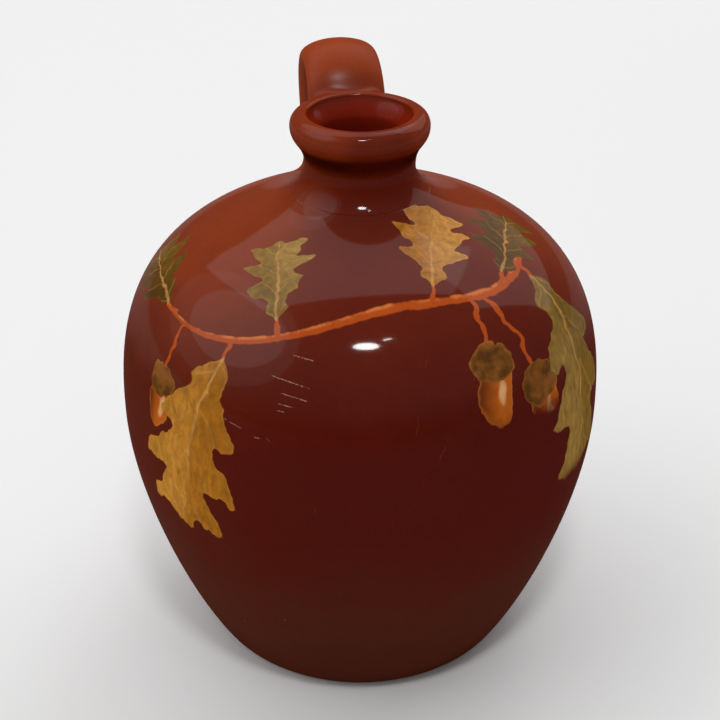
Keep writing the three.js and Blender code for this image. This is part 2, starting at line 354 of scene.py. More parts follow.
def pulled_strap():
    """An oval drawn out ring by ring along the centre line, turned and thinned as it goes."""
    shares = np.linspace(0, 1, STRAP_ROWS)
    places, ways = on_handle(shares)
    lean = np.unwrap(np.arctan2(ways[:, 1], ways[:, 0]))
    sizes = 1 + (STRAP_TAPER - 1) * shares
    first = places[0] * MM
    bpy.ops.object.select_all(action="DESELECT")
    bpy.ops.mesh.primitive_circle_add(
        vertices=STRAP_SIDES, radius=1, fill_type="NGON",
        location=(0, first[0], first[1]), rotation=(lean[0] - math.pi / 2, 0, 0),
    )
    bpy.context.object.scale = (STRAP_WIDTH / 2 * MM, STRAP_THICKNESS / 2 * MM, 1)
    bpy.ops.object.transform_apply(location=True, rotation=True, scale=True)
    bpy.ops.object.mode_set(mode="EDIT")
    bpy.ops.mesh.select_mode(type="FACE")
    bpy.ops.mesh.select_all(action="SELECT")
    for i in range(1, STRAP_ROWS):
        step = (places[i] - places[i - 1]) * MM
        centre = (0, places[i][0] * MM, places[i][1] * MM)
        bpy.ops.mesh.extrude_region_move(TRANSFORM_OT_translate={"value": (0, step[0], step[1])})
        bpy.ops.transform.rotate(value=lean[i - 1] - lean[i], orient_axis="X", center_override=centre)
        shrink = sizes[i] / sizes[i - 1]
        bpy.ops.transform.resize(value=(shrink, shrink, shrink), center_override=centre)
    piece = finish_mesh("handle_glazed")
    bpy.ops.object.shade_smooth_by_angle(angle=math.radians(STRAP_SMOOTH_BELOW))
    return piece


handle = pulled_strap()


# Distances, in millimetres, from the jug's own skin and from the strap's. The skin near the handle
# follows these curves, each from a share of its way, in so many steps.
SKIN_STRETCHES = (
    (shoulder, 0.55, 90), (cove, 0, 90), (neck_flare, 0, 60),
    (rim_roll, 0, 50), (lip_inside, 0, 20), (throat, 0, 30),
)
jug_skin = np.vstack([along(curve, first, 1, steps) for curve, first, steps in SKIN_STRETCHES])
skin_way = np.gradient(jug_skin, axis=0)
skin_way /= np.linalg.norm(skin_way, axis=1)[:, None]
skin_out = np.stack([skin_way[:, 1], -skin_way[:, 0]], axis=1)
line_way = np.gradient(handle_path, path_length, axis=0)
line_way /= np.linalg.norm(line_way, axis=1)[:, None]


def distances(points):
    """How far points are from the jug's skin and from the strap's, less than 0 inside them."""
    flat = np.stack([np.hypot(points[:, 0], points[:, 1]), points[:, 2]], axis=1)
    apart = flat[:, None, :] - jug_skin[None]
    near = (apart ** 2).sum(axis=2).argmin(axis=1)
    rows = np.arange(len(points))
    from_jug = (apart[rows, near] * skin_out[near]).sum(axis=1)
    apart = points[:, None, 1:] - handle_path[None]
    near = (apart ** 2).sum(axis=2).argmin(axis=1)
    off = apart[rows, near]
    ahead = (off * line_way[near]).sum(axis=1)
    share = np.clip((path_length[near] + ahead) / path_length[-1], 0, 1)
    size = 1 + (STRAP_TAPER - 1) * share
    out = off[:, 1] * line_way[near][:, 0] - off[:, 0] * line_way[near][:, 1]
    half_width = STRAP_WIDTH / 2 * size
    half_thick = STRAP_THICKNESS / 2 * size
    oval = np.sqrt((points[:, 0] / half_width) ** 2 + (out / half_thick) ** 2) + TINY
    slope = np.sqrt((points[:, 0] / half_width ** 2) ** 2 + (out / half_thick ** 2) ** 2) + TINY
    return np.stack([from_jug, oval * (oval - 1) / slope], axis=1)


# The search for places at given distances from both skins, in millimetres, and how many rounds
# it takes for the first place, each next one, the whole line, a ring beside it and the easing
NUDGE = 0.02
LONGEST_MOVE = 1.2
DAMPING = 1e-3
LINE_SPACING = 0.45
MOST_LINE_STEPS = 400
FIRST_ROUNDS = 12
NEXT_ROUNDS = 3
LINE_ROUNDS = 4
RING_ROUNDS = 8
EASING_ROUNDS = 2


def slopes_at(points, here):
    """How fast the two distances change along each of the three axes."""
    return np.stack([(distances(points + NUDGE * way) - here) / NUDGE for way in np.eye(3)], axis=2)


def settled(points, wanted, rounds):
    """Moves points until their two distances are the wanted ones."""
    points = points.copy()
    for _ in range(rounds):
        here = distances(points)
        slopes = slopes_at(points, here)
        short = wanted - here
        square = slopes @ slopes.transpose(0, 2, 1) + DAMPING * np.eye(2)
        move = (slopes.transpose(0, 2, 1) @ np.linalg.solve(square, short[:, :, None]))[:, :, 0]
        length = np.linalg.norm(move, axis=1, keepdims=True)
        points += move * np.minimum(1, LONGEST_MOVE / np.maximum(length, TINY))
    return points


def meeting_line(start):
    """The closed line on which strap and jug meet, followed from a place behind the mouth."""
    place = settled(np.array([start], float), np.zeros((1, 2)), FIRST_ROUNDS)
    place[0, 0] = 0
    half = [place[0]]
    way = np.array([1.0, 0, 0])
    for _ in range(MOST_LINE_STEPS):
        slopes = slopes_at(place, distances(place))[0]
        ahead = np.cross(slopes[0], slopes[1])
        ahead /= np.linalg.norm(ahead)
        way = ahead * np.sign(ahead @ way)
        place = settled(place + LINE_SPACING * way, np.zeros((1, 2)), NEXT_ROUNDS)
        if place[0, 0] < 0:
            break
        half.append(place[0])
    half = np.array(half)
    half[-1, 0] = 0
    other = half[1:-1][::-1] * [-1, 1, 1]
    loop = np.vstack([half, other])
    for _ in range(EASING_ROUNDS):
        loop = (np.roll(loop, 1, axis=0) + 2 * loop + np.roll(loop, -1, axis=0)) / 4
    return settled(loop, np.zeros((len(loop), 2)), LINE_ROUNDS)


def room_on_lip(line):
    """How far clay may reach over the jug's skin before it comes to the mouth's edge."""
    behind_crest = np.hypot(line[:, 0], line[:, 1]) - lip_top[0] + LIP_MARGIN
    below_lip = np.maximum(lip_top[1] - LIP_DEPTH - line[:, 2], 0)
    return behind_crest + ROOM_GROWTH * below_lip


def worked_join(name, start, reach_of):
    """Clay smoothed into the corner between strap and jug: a hollow curve that leaves both skins
    without a step, closed underneath so that it is a solid ring."""
    line = meeting_line(start)
    reach = reach_of(line)
    over_jug = np.minimum(reach, room_on_lip(line))
    thin = over_jug / reach
    rings = []
    for place in np.linspace(-1, 1, JOIN_ROWS):
        rest = reach * (1 - abs(place))
        low = rest ** 2 / (4 * reach)
        high = low + reach * abs(place)
        rings.append(np.stack([high, thin * low] if place > 0 else [low, thin * high], axis=1))
    edge = np.ones_like(reach)
    rings.append(np.stack([reach + STRAP_HEM[0], -JOIN_HEM_DEPTH * edge], axis=1))
    rings.append(np.stack([reach + STRAP_HEM[1], -JOIN_DEPTH * edge], axis=1))
    rings.append(np.stack([-JOIN_DEPTH * edge, -JOIN_DEPTH * edge], axis=1))
    rings.append(np.stack([-JOIN_DEPTH * edge, over_jug + JUG_HEM[1]], axis=1))
    rings.append(np.stack([-JOIN_HEM_DEPTH * edge, over_jug + JUG_HEM[0]], axis=1))
    grid = np.stack([settled(line, wanted, RING_ROUNDS) for wanted in rings]) * MM
    count, length = grid.shape[:2]
    faces = []
    for i in range(count):
        for j in range(length):
            a = (i + 1) % count
            b = (j + 1) % length
            faces.append((i * length + j, a * length + j, a * length + b, i * length + b))
    mesh = bpy.data.meshes.new(name)
    mesh.from_pydata(grid.reshape(-1, 3).tolist(), [], faces)
    piece = bpy.data.objects.new(name, mesh)
    bpy.context.collection.objects.link(piece)
    alone(piece)
    bpy.ops.object.mode_set(mode="EDIT")
    piece = finish_mesh(name)
    bpy.ops.object.shade_smooth_by_angle(angle=math.radians(JOIN_SMOOTH_BELOW))
    return piece


def neck_reach(line):
    """Slight behind the mouth, fuller down the neck."""
    down = np.clip((NECK_JOIN_TOP - line[:, 2]) / NECK_JOIN_DROP, 0, 1)
    return NECK_JOIN_REACH + NECK_JOIN_GROWTH * down ** NECK_JOIN_EASE


def shoulder_reach(line):
    """The same all round."""
    return np.full(len(line), SHOULDER_JOIN_REACH)


neck_join = worked_join("neck_join_glazed", NECK_JOIN_START, neck_reach)
shoulder_join = worked_join("shoulder_join_glazed", SHOULDER_JOIN_START, shoulder_reach)


# The bore from below the neck to the mouth's edge, as distances from the axis and heights
BORE_LINE_STEPS = 12
bore_line = np.vstack([
    [bore_radius, 0], throat_end, along(throat, 0, 1, BORE_LINE_STEPS)[::-1], mouth_edge,
])


def places_of(piece):
    """A piece's points, in millimetres."""
    flat = np.empty(len(piece.data.vertices) * 3)
    piece.data.vertices.foreach_get("co", flat)
    return flat.reshape(-1, 3) / MM


def move_to(piece, places):
    """Gives a piece's points new places, in millimetres."""
    piece.data.vertices.foreach_set("co", (places * MM).ravel())
    piece.data.update()


def keep_out_of_bore(piece, cover):
    """Draws what reaches into the bore back into the wall, so that the wall covers it."""
    places = places_of(piece)
    radius = np.hypot(places[:, 0], places[:, 1])
    least = np.interp(places[:, 2], bore_line[:, 1], bore_line[:, 0])
    least += np.where(places[:, 2] < mouth_edge[1], cover, LIP_CLEARANCE)
    near = (radius < NEAR_NECK) & (places[:, 2] < BELOW_ARCH)
    grown = np.where(near & (radius < least), least / np.maximum(radius, TINY), 1)
    places[:, 0] *= grown
    places[:, 1] *= grown
    move_to(piece, places)


def keep_in_shoulder(piece):
    """Draws the strap's lower end up into the shoulder's wall, clear of the hollow."""
    places = places_of(piece)
    at_shoulder = (places[:, 1] > BEHIND_NECK) & (places[:, 2] < BELOW_NECK)
    depth = distances(places)[:, 0] + STRAP_DEPTH_IN_SHOULDER
    too_deep = np.where(at_shoulder & (depth < 0), depth, 0)
    near = np.argmin(((places[:, None, 1:] - jug_skin[None]) ** 2).sum(axis=2), axis=1)
    places[:, 1:] -= skin_out[near] * too_deep[:, None]
    move_to(piece, places)


keep_out_of_bore(handle, BORE_COVER_OF_STRAP)
keep_out_of_bore(neck_join, BORE_COVER_OF_JOIN)
keep_in_shoulder(handle)


# Glazes, mixed from nodes: how rough the noises are, and the brush's wobble, in waves per millimetre
# and in millimetres
NOISE_ROUGHNESS = 0.55
WOBBLE_WAVES = 0.16
WOBBLE_REACH = 5.0


class Term:
    """A socket that Python's signs work on: each sign adds its Math node."""

    def __init__(self, paint, socket):
        self.paint = paint
        self.socket = socket

    def __add__(self, other):
        return self.paint.maths("ADD", self, other)

    def __radd__(self, other):
        return self.paint.maths("ADD", other, self)

    def __sub__(self, other):
        return self.paint.maths("SUBTRACT", self, other)

    def __rsub__(self, other):
        return self.paint.maths("SUBTRACT", other, self)

    def __mul__(self, other):
        return self.paint.maths("MULTIPLY", self, other)

    def __rmul__(self, other):
        return self.paint.maths("MULTIPLY", other, self)

    def __truediv__(self, other):
        return self.paint.maths("DIVIDE", self, other)

    def __rtruediv__(self, other):
        return self.paint.maths("DIVIDE", other, self)

    def __pow__(self, other):
        return self.paint.maths("POWER", self, other)

    def __abs__(self):
        return self.paint.maths("ABSOLUTE", self)


class Paint:
    """One material and its nodes."""

    def __init__(self, name):
        self.material = bpy.data.materials.new(name)
        self.material.use_nodes = True
        self.tree = self.material.node_tree
        self.shader = self.tree.nodes["Principled BSDF"]

    def node(self, kind, settings=None, inputs=None, output=0):
        """Adds a node: its settings first, then the values or links of its sockets."""
        made = self.tree.nodes.new("ShaderNode" + kind)
        for name, value in (settings or {}).items():
            setattr(made, name, value)
        for name, value in (inputs or {}).items():
            self.feed(made.inputs[name], value)
        return Term(self, made.outputs[output])

    def feed(self, socket, value):
        """Links a term to a socket, or sets the socket to a plain value."""
        if isinstance(value, Term):
            self.tree.links.new(value.socket, socket)
        elif socket.type == "RGBA" and len(value) == 3:
            socket.default_value = (*value, 1)
        else:
            socket.default_value = value

    def maths(self, operation, *values):
        """One Math node."""
        return self.node("Math", {"operation": operation}, dict(enumerate(values)))

    def smooth(self, value, low, high):
        """0 below low and 1 above high with a soft step between, or the other way round if low is
        above high."""
        if low > high:
            return 1 - self.smooth(value, high, low)
        return self.node("MapRange", {"interpolation_type": "SMOOTHSTEP"},
                         {"Value": value, "From Min": low, "From Max": high})

    def both(self, *masks):
        """Masks multiplied, so that all of them have to hold."""
        result = masks[0]
        for mask in masks[1:]:
            result = result * mask
        return result

    def mixed(self, share, under, over):
        """Colours laid over each other by a share."""
        return self.node("Mix", {"data_type": "RGBA"}, {0: share, 6: under, 7: over}, 2)

    def toned(self, colour, tone):
        """A colour made lighter or darker all over by a number."""
        return self.node("VectorMath", {"operation": "SCALE"}, {0: colour, "Scale": tone})

    def along_way(self, place, way, start):
        """How far a place lies along a direction, from a start."""
        dot = self.node("VectorMath", {"operation": "DOT_PRODUCT"}, {0: place, 1: tuple(way)}, 1)
        return dot - float(np.dot(way, start))

    def noise(self, place, scale, detail=2.0, stretch=None):
        """Soft noise from 0 to 1; the scale is in waves per millimetre."""
        if stretch:
            place = self.node("VectorMath", {"operation": "MULTIPLY"}, {0: place, 1: stretch})
        return self.node("TexNoise", {"noise_dimensions": "3D"},
                         {"Vector": place, "Scale": scale, "Detail": detail, "Roughness": NOISE_ROUGHNESS})

    def wobble(self, place):
        """A small sideways shift that makes painted outlines unsteady, as a brush does."""
        soft = self.node("TexNoise", {"noise_dimensions": "3D"},
                         {"Vector": place, "Scale": WOBBLE_WAVES, "Detail": 2.0}, 1)
        even = self.node("VectorMath", {"operation": "SUBTRACT"}, {0: soft, 1: (0.5, 0.5, 0.5)})
        return self.node("VectorMath", {"operation": "SCALE"}, {0: even, "Scale": WOBBLE_REACH})

    def unsteady(self, value, noise, reach):
        """A value that wanders with a noise, over a reach in all."""
        return value + (noise - 0.5) * reach

    def cells(self, place, scale, feature="F1", output=0):
        """Scattered cells; the scale is in cells per millimetre."""
        return self.node("TexVoronoi", {"feature": feature}, {"Vector": place, "Scale": scale}, output)


# Steps along the wall in which a painted thing's place is found
WALL_STEPS = 800


def on_shoulder(turn, height):
    """The place on the outer wall at a turn from the front and a height, with the way out of the
    wall, the way round to the right and the way uphill."""
    curve = shoulder if height >= BELLY_HEIGHT else lower_wall
    wall = along(curve, 0, 1, WALL_STEPS)
    i = int(np.argmin(abs(wall[:, 1] - height)))
    way = wall[min(i + 1, WALL_STEPS - 1)] - wall[max(i - 1, 0)]
    way /= np.linalg.norm(way)
    angle = math.radians(turn)
    out = np.array([math.sin(angle), -math.cos(angle), 0])
    right = np.array([math.cos(angle), math.sin(angle), 0])
    up = way[0] * out + np.array([0, 0, way[1]])
    return wall[i][0] * out + np.array([0, 0, wall[i][1]]), np.cross(right, up), right, up


def local_frame(paint, place, turn, height, lean):
    """Distances from a place on the wall: ahead along a way leant from level, to its left, and
    out of the wall."""
    at, out, right, up = on_shoulder(turn, height)
    angle = math.radians(lean)
    ahead = math.cos(angle) * right + math.sin(angle) * up
    left = np.cross(out, ahead)
    return [paint.along_way(place, way, at) for way in (ahead, left, out)]


# Colours of a leaf: its main one, its lighter one and its darker one
OCHRE = ((0.42, 0.155, 0.011), (0.56, 0.240, 0.030), (0.26, 0.088, 0.006))
OLIVE = ((0.24, 0.125, 0.016), (0.34, 0.190, 0.040), (0.11, 0.060, 0.006))
DARK_OLIVE = ((0.110, 0.046, 0.002), (0.160, 0.075, 0.006), (0.055, 0.022, 0.001))
VEIN = (0.56, 0.28, 0.07)
TWIG = (0.45, 0.070, 0.006)
TWIG_LIGHT = (0.68, 0.20, 0.05)
NUT = (0.50, 0.110, 0.008)
NUT_SHADE = (0.16, 0.03, 0.002)
NUT_EDGE = (0.62, 0.17, 0.02)
NUT_LIGHT = (0.78, 0.44, 0.18)
CUP = (0.100, 0.036, 0.003)
CUP_LIGHT = (0.40, 0.13, 0.02)

# The twig waves about a height, in millimetres. Each wave is its rise in millimetres, how many times
# faster than the turn it runs, and its shift. The ends and their taper are turns, in radians.
TWIG_MIDDLE = 130.0
TWIG_WAVES = ((5.0, 1.3, 0.2), (2.4, 3.7, 2.0))
TWIG_ENDS = (-1.35, 1.40)
TWIG_TAPER = 0.5
TWIG_WIDTH = 0.25
TWIG_KNOTS = 0.90
TWIG_END_WIDTH = 0.35
TWIG_SQUEEZE = 0.8
TWIG_EDGE = (1.0, 0.6)
TWIG_FADE = (0.0, 0.1)
TWIG_SHINE = (0.0, 0.5)
TWIG_SHINE_GAPS = (0.40, 0.58)

# A leaf. A pair is where a soft step starts and where it ends, and a waver is how far an edge
# wanders. These are in millimetres.
PETIOLE = 5.0
HALVES_MEET = (-0.6, 0.6)
LIGHT_HALF = (-3.5, 3.5)
LIGHT_HALF_WAVER = 6.0
LEAF_REACH = (42, 36)
MIDRIB_EDGE = (0.75, 0.35)
STEM_EDGE = (0.75, 0.45)
STEM_START = (-0.8, 0.2)
STEM_REACH = (24, 18)
# These are in lengths of the leaf, or are paces of the waves along it, powers and plain numbers.
STEM_END = (0.04, 0.0)
LOBE_WAVES = 24.5
LOBE_SHIFT = 1.7
LOBE_STAGGER = 0.9
LOBE_SWEEP = 0.42
LEAF_WIDTH = 0.285
LOBE_WIDTH = 0.095
LEAF_TIP = 1.2
LEAF_FULLNESS = 0.62
LEAF_EDGE = (0.0, 0.014)
LEAF_WAVER = 0.03
DARK_BASE = (0.85, 0.1)
DARK_BASE_WAVER = 0.5
LIGHT_EDGE = (0.05, 0.0)
VEIN_SWEEP = 0.95
VEIN_EDGE = (0.955, 1.0)
VEIN_MARGIN = (0.004, 0.03)
MIDRIB_TAPER = 0.35

# An acorn, in millimetres: half the length and half the width of the nut and of its cup, and then
# its soft steps
NUT_HALVES = (7.2, 4.6)
NUT_GLOW = (1.2, 3.0, 1.3, 1.4)
CUP_BACK = 4.6
CUP_HALVES = (3.9, 5.6)
NUT_SHADED_SIDE = (1.0, -4.0)
ACORN_REACH = (16, 12)
STALK_EDGE = (0.7, 0.4)
STALK_START = (-0.6, 0.2)
STALK_END = (-7.0, -8.0)
# Its edges, from 0 at the outline to 1 in the middle
ACORN_EDGE = (0.0, 0.1)
NUT_WAVER = 0.1
NUT_BORDER = (0.32, 0.0)
CUP_WAVER = 0.16
CUP_BORDER = (0.35, 0.0)
CUP_SCALES = (0.35, 0.65)

# Leaves on the twig: turn, lean, length and colours
LEAVES = [
    (-68.0, 165.0, 32.0, DARK_OLIVE),
    (-45.0, -104.0, 47.0, OCHRE),
    (-33.0, 112.0, 27.0, OLIVE),
    (12.0, 66.0, 31.0, OCHRE),
    (53.0, -94.0, 46.0, OLIVE),
    (38.0, 34.0, 30.0, DARK_OLIVE),
]
# Acorns: turn, lean, length of the stalk and size
ACORNS = [
    (25.0, -99.0, 24.0, 1.25),
    (29.0, -76.0, 33.0, 1.25),
    (-62.0, -92.0, 22.0, 1.1),
]


def oak_leaf(paint, place, grain, colour, turn, lean, length, tones):
    """An oak leaf painted over a colour: its stem starts at the twig and it points along its lean."""
    ahead, left, out = local_frame(paint, place, turn, twig_height(turn), lean)
    share = (ahead - PETIOLE) / length
    side = abs(left) / length
    half = paint.smooth(left, *HALVES_MEET)
    swept = share - LOBE_SWEEP * side
    swelling = paint.maths("MAXIMUM", swept, 0.0) ** LEAF_TIP
    envelope = paint.maths("MAXIMUM", 4 * swelling * (1 - swelling), 0.0) ** LEAF_FULLNESS
    lobes = paint.maths("COSINE", swept * LOBE_WAVES - LOBE_SHIFT + half * LOBE_STAGGER)
    width = envelope * (LEAF_WIDTH + LOBE_WIDTH * lobes)
    inside = paint.unsteady(width - side, grain, LEAF_WAVER)
    mask = paint.both(paint.smooth(inside, *LEAF_EDGE), paint.smooth(abs(out), *LEAF_REACH))
    main, light, dark = tones
    main_half = paint.smooth(paint.unsteady(left, grain, LIGHT_HALF_WAVER), *LIGHT_HALF)
    base = paint.smooth(paint.unsteady(share, grain, DARK_BASE_WAVER), *DARK_BASE)
    shade = paint.mixed(main_half, light, main)
    shade = paint.mixed(base * 0.55, shade, dark)
    shade = paint.mixed(paint.smooth(inside, *LIGHT_EDGE) * 0.35, shade, light)
    veined = share - VEIN_SWEEP * side
    veins = paint.maths("COSINE", veined * LOBE_WAVES - LOBE_SHIFT + half * LOBE_STAGGER)
    veins = paint.both(paint.smooth(veins, *VEIN_EDGE), paint.smooth(inside, *VEIN_MARGIN), 0.45)
    midrib = paint.smooth(abs(left) + share * MIDRIB_TAPER, *MIDRIB_EDGE)
    shade = paint.mixed(paint.maths("MAXIMUM", veins, midrib) * 0.65, shade, VEIN)
    stem = paint.both(paint.smooth(abs(left), *STEM_EDGE), paint.smooth(ahead, *STEM_START),
                      paint.smooth(share, *STEM_END), paint.smooth(abs(out), *STEM_REACH))
    colour = paint.mixed(stem, colour, TWIG)
    return paint.mixed(mask, colour, shade), mask


def acorn(paint, place, grain, colour, turn, lean, stalk_length, size):
    """An acorn in its cup, hanging from the twig by a stalk along its lean."""
    ahead, left, out = local_frame(paint, place, turn, twig_height(turn), lean)
    from_twig = ahead
    ahead = (ahead - stalk_length) / size
    left = left / size
    near = paint.smooth(abs(out), *ACORN_REACH)
    nut = 1 - (ahead / NUT_HALVES[0]) ** 2 - (left / NUT_HALVES[1]) ** 2
    nut_mask = paint.smooth(paint.unsteady(nut, grain, NUT_WAVER), *ACORN_EDGE) * near
    glow_ahead, glow_length, glow_left, glow_width = NUT_GLOW
    glow = 1 - ((ahead - glow_ahead) / glow_length) ** 2 - ((left - glow_left) / glow_width) ** 2
    shade = paint.mixed(paint.smooth(left, *NUT_SHADED_SIDE), NUT, NUT_SHADE)
    shade = paint.mixed(paint.smooth(nut, *NUT_BORDER) * 0.6, shade, NUT_EDGE)
    shade = paint.mixed(paint.smooth(glow, 0.0, 1.0) * 0.9, shade, NUT_LIGHT)
    cup = 1 - ((ahead + CUP_BACK) / CUP_HALVES[0]) ** 2 - (left / CUP_HALVES[1]) ** 2
    cup_mask = paint.smooth(paint.unsteady(cup, grain, CUP_WAVER), *ACORN_EDGE) * near
    scales = paint.smooth(grain, *CUP_SCALES)
    cup_shade = paint.mixed(scales * 0.5 + paint.smooth(cup, *CUP_BORDER) * 0.4, CUP, CUP_LIGHT)
    stalk = paint.both(paint.smooth(abs(left), *STALK_EDGE), paint.smooth(ahead, *STALK_END),
                       paint.smooth(from_twig, *STALK_START), near)
    colour = paint.mixed(stalk, colour, TWIG)
    colour = paint.mixed(nut_mask, colour, shade)
    return paint.mixed(cup_mask, colour, cup_shade)


def twig_height(turn):
    """How high the twig's middle line is at a turn from the front."""
    angle = math.radians(turn)
    waves = [rise * math.sin(often * angle + shift) for rise, often, shift in TWIG_WAVES]
    return TWIG_MIDDLE + sum(waves)


def twig(paint, z, turns, grain, colour):
    """A painted twig that waves round the shoulder and thins towards its ends."""
    middle = TWIG_MIDDLE
    for rise, waves, shift in TWIG_WAVES:
        middle = middle + rise * paint.maths("SINE", turns * waves + shift)
    off = (z - middle) * TWIG_SQUEEZE
    first, last = TWIG_ENDS
    ends = paint.both(paint.smooth(turns, first, first + TWIG_TAPER),
                      paint.smooth(turns, last, last - TWIG_TAPER))
    width = (TWIG_WIDTH + TWIG_KNOTS * grain) * (TWIG_END_WIDTH + (1 - TWIG_END_WIDTH) * ends)
    body = paint.both(paint.smooth(abs(off) / width, *TWIG_EDGE), paint.smooth(ends, *TWIG_FADE))
    shine = paint.both(body, paint.smooth(off / width, *TWIG_SHINE),
                       paint.smooth(grain, *TWIG_SHINE_GAPS))
    colour = paint.mixed(body * (0.55 + 0.45 * ends), colour, TWIG)
    return paint.mixed(shine * 0.75, colour, TWIG_LIGHT)


# Colours of the glaze
MAROON = (0.090, 0.0052, 0.0016)
RED_BROWN = (0.106, 0.0130, 0.0038)
BROWN = (0.235, 0.0330, 0.0065)
RIM_BROWN = (0.200, 0.0240, 0.0045)
UMBER = (0.084, 0.0200, 0.0085)
# Painted shadow, nearly black, for the crease under the rolled rim
PAINTED_RIM_SHADOW = (0.022, 0.0016, 0.0006)
THROAT = (0.200, 0.0120, 0.0040)
STRAP_BROWN = (0.290, 0.0430, 0.0095)
SPECK = (0.45, 0.24, 0.12)
SCRATCH = (0.50, 0.27, 0.20)
BARE_CLAY = (0.42, 0.27, 0.15)

# Where one colour gives way to another. First the way that the painted side faces, and how much of
# it a place shares; then heights, or distances from the axis, in millimetres. A waver is how far
# such an edge wanders.
PAINTED_SIDE = (0.13, 0.99)
ASIDE_ZONE = (0.93, 0.25)
ASIDE_WAVER = 0.5
FRONT_ZONE = (0.80, 0.97)
HIGH_ZONE = (100, 142)
HIGH_WAVER = 26
LOW_ZONE = (82, 28)
LOW_WAVER = 30
CROWN_ZONE = (147, 163)
COVE_ZONE = (140, 151)
COVE_TOP = (163, 160)
COVE_RADII = (30, 17)
# Where the painted shadow under the rim begins and ends in height, and how far its edge wanders
RIM_SHADOW_BOTTOM = (156.5, 160)
RIM_SHADOW_TOP = (164.5, 161.5)
RIM_SHADOW_WAVER = 2
NECK_RADII = (20.5, 19.5)
STRAP_BEHIND = (17.5, 22)
STRAP_WAVER = 3
STRAP_ABOVE = (146, 153)
THROAT_RADII = (15.2, 14.6)
THROAT_BOTTOM = (140, 150)
THROAT_TOP = (169.2, 168.6)
BARE_BELOW = (0.55, 0.25)
BARE_OUTSIDE = (38.8, 39.8)

# The coat on the glaze: its weight low on the wall, what the shoulder adds and over which heights
COAT_IOR = 2.4
COAT_WEIGHT = 0.022
COAT_GAIN = 0.078
COAT_ZONE = (104, 118)
UNDER_RIM_BOTTOM = (147, 152)
UNDER_RIM_TOP = (168, 165)
UNDER_RIM_RADII = (20.5, 19.9)
UNDER_RIM_LOSS = 0.75
STRAP_LOSS = 0.4
GLOSS_SPREAD = 0.07
SATIN_SPREAD = 0.32

# The glaze's roughness: its least, and what its mottle, its clouds and the bare clay add
GLAZE_ROUGHNESS = 0.13
MOTTLE_ROUGHNESS = 0.06
CLOUD_ROUGHNESS = 0.03
BARE_ROUGHNESS = 0.6

# Patterns in the glaze: waves or cells per millimetre, stretches along the three axes, soft edges
CLOUD_WAVES = 0.035
MOTTLE_WAVES = 0.22
GRAIN_WAVES = 1.9
BRUSH_WAVES = 0.55
BRUSH_STRETCH = (1.0, 1.0, 0.35)
STREAK_STRETCH = (1.5, 1.5, 0.10)
CRACK_CELLS = 0.42
CRACK_EDGE = (0.05, 0.0)
SPECK_CELLS = 0.16
SPECK_EDGE = (0.040, 0.020)
SPECKS_CHOSEN = (0.86, 0.90)

# Relief in the glaze's skin: its patterns, and their heights in millimetres
SLOW_WAVES = 0.06
SLOW_HEIGHT = 0.10
FINE_WAVES = 0.6
FINE_HEIGHT = 0.0055
GRAIN_HEIGHT = 0.0016
RING_STRETCH = (0.06, 0.06, 1.6)
RING_HEIGHT = 0.004
PIT_CELLS = 1.3
PIT_EDGE = (0.34, 0.05)
PIT_DEPTH = 0.008

# Hairline scratches on the front: turn, height, lean and length
SCRATCHES = [
    (-24.9, 124.2, -8.0, 6.5),
    (-27.2, 118.9, -10.0, 11.5),
    (-25.8, 115.6, -9.0, 8.0),
    (-27.5, 113.4, -6.0, 5.0),
    (-28.5, 111.8, -5.0, 3.0),
    (-38.9, 105.6, -12.0, 4.5),
    (-33.5, 103.8, 3.0, 2.6),
    (-41.5, 106.4, -30.0, 1.5),
]
# Their soft edge, wandering, fading ends and reach off the wall, in millimetres, and their gaps
SCRATCH_EDGE = (0.17, 0.05)
SCRATCH_WAVER = 0.7
SCRATCH_TAIL = 1
SCRATCH_REACH = (6, 4)
SCRATCH_GAPS = (0.36, 0.52)


def scratched(paint, place, grain, colour):
    """Short pale hairlines in the glaze."""
    for turn, height, lean, length in SCRATCHES:
        ahead, left, out = local_frame(paint, place, turn, height, lean)
        off = paint.unsteady(left, grain, SCRATCH_WAVER)
        line = paint.both(
            paint.smooth(abs(off), *SCRATCH_EDGE),
            paint.smooth(abs(ahead), length / 2, length / 2 - SCRATCH_TAIL),
            paint.smooth(abs(out), *SCRATCH_REACH), paint.smooth(grain, *SCRATCH_GAPS),
        )
        colour = paint.mixed(line * 0.7, colour, SCRATCH)
    return colour


